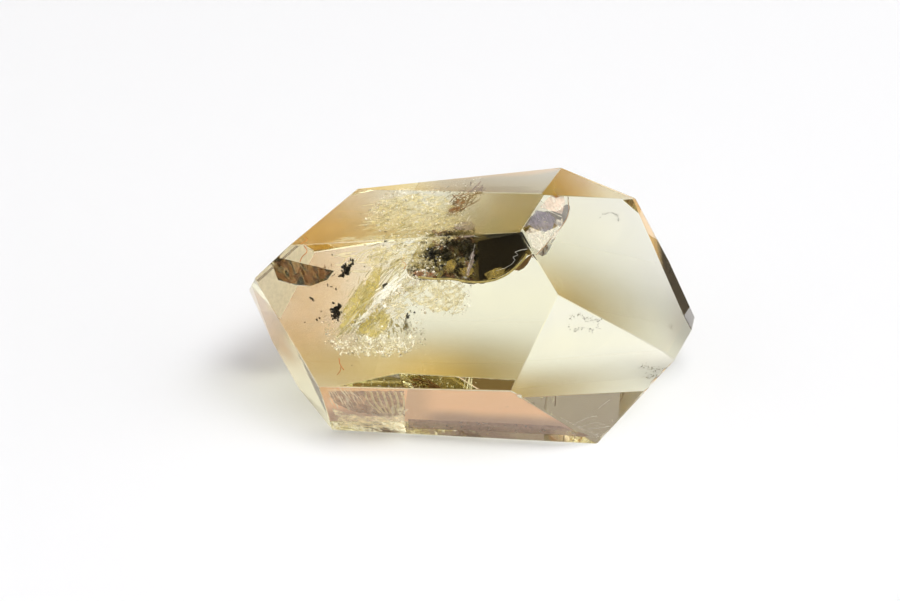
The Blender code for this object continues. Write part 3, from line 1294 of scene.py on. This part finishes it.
# fine threads and scratches: round wires through points seen in the stone, each with a depth and radius
threadSettings = {
    "rust": {
        "colour": (0.8, 0.27, 0.07),
        "threads": [
            ([(304, 246), (307, 251), (302, 257), (300, 262)], 3.0, 0.045),
            ([(339, 358), (340, 364), (344, 370)], 4.0, 0.05),
            ([(341, 366), (340, 371), (337, 375)], 4.0, 0.04),
            ([(404, 257), (402, 261), (406, 264), (404, 269)], 3.5, 0.05),
            ([(413, 273), (422, 271), (431, 274), (438, 273)], 3.0, 0.05),
        ],
    },
    "brownWisp": {
        "colour": (0.3, 0.13, 0.05),
        "threads": [
            ([(462, 209), (470, 205), (479, 200)], 2.0, 0.07),
            ([(455, 196), (468, 191), (481, 181)], 2.4, 0.06),
        ],
    },
    "brightLine": {
        "colour": (0.98, 0.95, 0.86), "glow": 0.15, "handles": "VECTOR",
        "threads": [
            ([(496, 271), (505, 268), (512, 264), (515, 260)], 1.0, 0.014),
            ([(515, 260), (513, 257), (518, 255), (515, 252), (521, 250), (527, 249)], 1.0, 0.026),
            ([(475, 244), (472, 256), (467, 272)], 1.4, 0.014),
            ([(536, 208), (549, 211), (562, 217)], 0.8, 0.035),
        ],
    },
    "oliveLine": {
        "colour": (0.46, 0.34, 0.12),
        "threads": [
            ([(338, 212), (350, 211), (366, 213)], 1.0, 0.02),
            ([(330, 220), (342, 219), (356, 220)], 1.2, 0.015),
        ],
    },
    "creamRibs": {
        "colour": (0.98, 0.84, 0.48), "glow": 0.1, "alpha": 0.42,
        "threads": [
            ([(x, 392), (x + 3, 401), (0.6 * x + 161, 413)], 0.7, 0.10 + 0.02 * (x % 4))
            for x in range(365, 402, 6)
        ],
    },
    "brownRim": {
        "colour": (0.5, 0.34, 0.22),
        "threads": [
            ([(557, 181), (564, 190), (568, 200), (569, 210), (564, 223), (553, 236), (544, 247), (536, 255)],
             1.0, 0.07),
        ],
    },
    "goldRim": {
        "colour": (0.6, 0.48, 0.16),
        "threads": [
            (
                [
                    (418, 277), (434, 279), (450, 279), (470, 282), (490, 281), (504, 276), (514, 269),
                    (523, 260), (527, 254),
                ],
                1.0, 0.11,
            ),
        ],
    },
    "whiteScratch": {
        "colour": (0.97, 0.95, 0.9),
        "threads": [
            ([(576, 423), (590, 417), (597, 416)], 0.06, 0.012),
            ([(588, 429), (600, 428), (611, 426)], 0.06, 0.014),
            ([(581, 427), (593, 423), (604, 424)], 0.06, 0.008),
            ([(598, 409), (604, 404), (611, 399)], 0.06, 0.008),
        ],
    },
}


def threads():
    for name, s in threadSettings.items():
        curve = bpy.data.curves.new(name, "CURVE")
        curve.dimensions = "3D"
        curve.bevel_depth = mm
        curve.bevel_resolution = 1
        curve.resolution_u = 4
        curve.use_fill_caps = True
        for seen, depth, width in s["threads"]:
            spline = curve.splines.new("BEZIER")
            spline.bezier_points.add(len(seen) - 1)
            for point, spot in zip(spline.bezier_points, seen):
                point.co = inside(spot, depth)
                point.radius = width
                point.handle_left_type = point.handle_right_type = s.get("handles", "AUTO")
        makeActive(addPiece(name, curve))
        bpy.ops.object.convert(target="MESH")
        material = mottled(name, s["colour"], 0.6, 0.4, alpha=s.get("alpha", 1), glow=s.get("glow", 0))
        finishPiece(bpy.context.object, material)


# fine pits and bruises on the flats, strewn along a few short ways: each with its count and spread
pitSettings = {
    "pits": {
        "colour": (0.13, 0.1, 0.06), "size": (0.04, 0.11),
        "ways": [
            ([(600, 218), (604, 214), (611, 212), (617, 215), (619, 220), (613, 221)], 50, 0.7),
            ([(570, 318), (578, 314), (586, 318), (595, 321), (603, 319)], 80, 1.3),
            ([(568, 327), (575, 330), (583, 328), (592, 330), (600, 326)], 60, 1.1),
            ([(640, 368), (649, 366), (657, 371), (664, 366)], 60, 1.6),
            ([(643, 377), (652, 376), (659, 379)], 40, 1.6),
            ([(526, 404), (531, 403), (537, 405)], 22, 1.1),
            ([(664, 325), (668, 327), (675, 326)], 12, 1.2),
            ([(500, 408), (508, 407)], 8, 0.8),
        ],
    },
    "edgeChips": {
        "colour": (0.99, 0.97, 0.93), "size": (0.02, 0.07),
        "ways": [
            ([(560, 418), (572, 424), (585, 430), (600, 437)], 60, 0.7),
            ([(590, 436), (600, 434), (606, 437)], 34, 1.6),
            ([(372, 386), (400, 387), (430, 388)], 14, 0.6),
            ([(596, 424), (612, 420)], 16, 2.0),
        ],
    },
}


pitShape = {"depth": (0.08, 0.2), "stretch": (1, (0.3, 0.9), 0.3)}


def surfacePits():
    dice = random.Random(seeds["pits"])
    for name, s in pitSettings.items():
        places = []
        for way, count, spread in s["ways"]:
            for _ in range(count):
                step = dice.uniform(0, len(way) - 1.001)
                first, last = way[int(step)], way[int(step) + 1]
                part = step % 1
                spot = [a + (b - a) * part + dice.gauss(0, spread) for a, b in zip(first, last)]
                if sightLine(spot)[0]:
                    centre = inside(spot, dice.uniform(*pitShape["depth"]))
                    stretch = drawn(dice, pitShape["stretch"])
                    places.append(placed(centre, dice.uniform(*s["size"]), anyDirection(dice), 0, stretch))
        piece = joinCopies(name, roughBall(0.3, 4), places)
        finishPiece(piece, mottled(name, s["colour"], 0.7, 0.5))


makeTintedShade(crystal)
stainsAndShade()
mineralGrains()
flakes()
films()
wisps()
whiteStars()
fractureBits()
threads()
surfacePits()

scene = bpy.context.scene
scene.view_settings.view_transform = "Standard"
scene.cycles.max_bounces = 32
scene.cycles.glossy_bounces = 16
scene.cycles.transmission_bounces = 24
scene.cycles.transparent_max_bounces = 32
